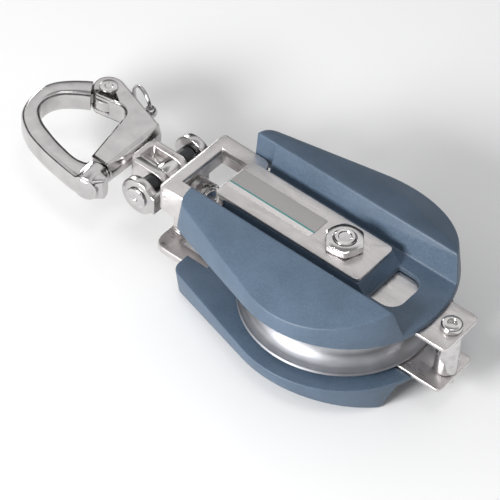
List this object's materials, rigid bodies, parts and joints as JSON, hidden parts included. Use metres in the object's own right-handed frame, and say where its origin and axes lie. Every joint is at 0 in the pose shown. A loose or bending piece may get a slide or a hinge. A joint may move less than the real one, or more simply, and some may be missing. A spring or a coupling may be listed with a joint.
{
  "type": "single sheave block",
  "caption": "Single sheave block with moulded nylon cheeks, steel straps, a becket and a swivelling toggle head with a snap shackle.",
  "frame": {"origin": "under the middle of the block's bounding box, on the surface it lies on", "axes": "+X from the snap shackle to the becket, +Z along the sheave's axis, away from the surface"},
  "size_m": [0.193, 0.082, 0.0484],
  "materials": {
    "moulded_nylon": "satin",
    "polished_stainless": "polished",
    "anodised_aluminium": "satin",
    "black_acetal": "satin",
    "white_acetal": "satin",
    "label_film": "satin"
  },
  "bodies": {
    "block": {"upper_cheek": "moulded_nylon", "lower_cheek": "moulded_nylon", "upper_strap": "polished_stainless", "lower_strap": "polished_stainless", "strap_label": "label_film", "upper_side_plate": "polished_stainless", "lower_side_plate": "polished_stainless", "axle_bolt": "polished_stainless", "axle_nut": "polished_stainless", "bearing_sleeve": "polished_stainless", "upper_thrust_washer": "black_acetal", "lower_thrust_washer": "black_acetal", "becket_post": "polished_stainless", "becket_bolt": "polished_stainless", "becket_nut": "polished_stainless", "head_frame": "polished_stainless"},
    "sheave": {"sheave": "anodised_aluminium"},
    "bearing": {"roller_cage": "white_acetal", "bearing_roller_1": "polished_stainless", "bearing_roller_2": "polished_stainless", "bearing_roller_3": "polished_stainless", "bearing_roller_4": "polished_stainless", "bearing_roller_5": "polished_stainless", "bearing_roller_6": "polished_stainless", "bearing_roller_7": "polished_stainless", "bearing_roller_8": "polished_stainless", "bearing_roller_9": "polished_stainless", "bearing_roller_10": "polished_stainless", "bearing_roller_11": "polished_stainless", "bearing_roller_12": "polished_stainless", "bearing_roller_13": "polished_stainless", "bearing_roller_14": "polished_stainless"},
    "head": {"head_clevis": "polished_stainless", "head_nut": "polished_stainless", "cross_pin": "polished_stainless", "near_pin_bush": "black_acetal", "far_pin_bush": "black_acetal"},
    "toggle": {"toggle_strap": "polished_stainless", "swivel_post": "polished_stainless"},
    "shackle": {"shackle_body": "polished_stainless", "bow_rivet": "polished_stainless", "plunger_cap": "polished_stainless", "plunger_spring": "polished_stainless"},
    "bow": {"shackle_bow": "polished_stainless"},
    "plunger": {"plunger": "polished_stainless"},
    "ring": {"pull_ring": "polished_stainless"}
  },
  "joints": [
    {"name": "sheave_spin", "type": "hinge", "parent": "block", "child": "sheave", "pos_m": [0.04512, 0, 0.0242], "axis": [0, 0, 1], "continuous": true},
    {"name": "bearing_orbit", "type": "hinge", "parent": "block", "child": "bearing", "pos_m": [0.04512, 0, 0.0242], "axis": [0, 0, 1], "continuous": true},
    {"name": "head_swivel", "type": "hinge", "parent": "block", "child": "head", "pos_m": [-0.02288, 0, 0.0242], "axis": [1, 0, 0], "continuous": true},
    {"name": "toggle_hinge", "type": "hinge", "parent": "head", "child": "toggle", "pos_m": [-0.03468, 0, 0.0242], "axis": [0, 1, 0], "range_deg": [-70, 70]},
    {"name": "shackle_swivel", "type": "hinge", "parent": "toggle", "child": "shackle", "pos_m": [-0.04938, 0, 0.0242], "axis": [1, 0, 0], "continuous": true},
    {"name": "bow_hinge", "type": "hinge", "parent": "shackle", "child": "bow", "pos_m": [-0.07708, 0.0159, 0.0242], "axis": [0, 0, 1], "range_deg": [-100, 0]},
    {"name": "plunger_slide", "type": "slide", "parent": "shackle", "child": "plunger", "axis": [-0.1822, 0.9833, 0], "range_m": [0, 0.008], "stiffness_N_per_m": 400, "springref_m": -0.008, "deforming": ["plunger_spring"]},
    {"name": "ring_swing", "type": "hinge", "parent": "plunger", "child": "ring", "pos_m": [-0.06033, 0.02025, 0.0242], "axis": [0, 0, 1], "range_deg": [-110, 10]}
  ],
  "couplings": [
    {"joint": "bearing_orbit", "follows": "sheave_spin", "ratio": 0.5956}
  ]
}
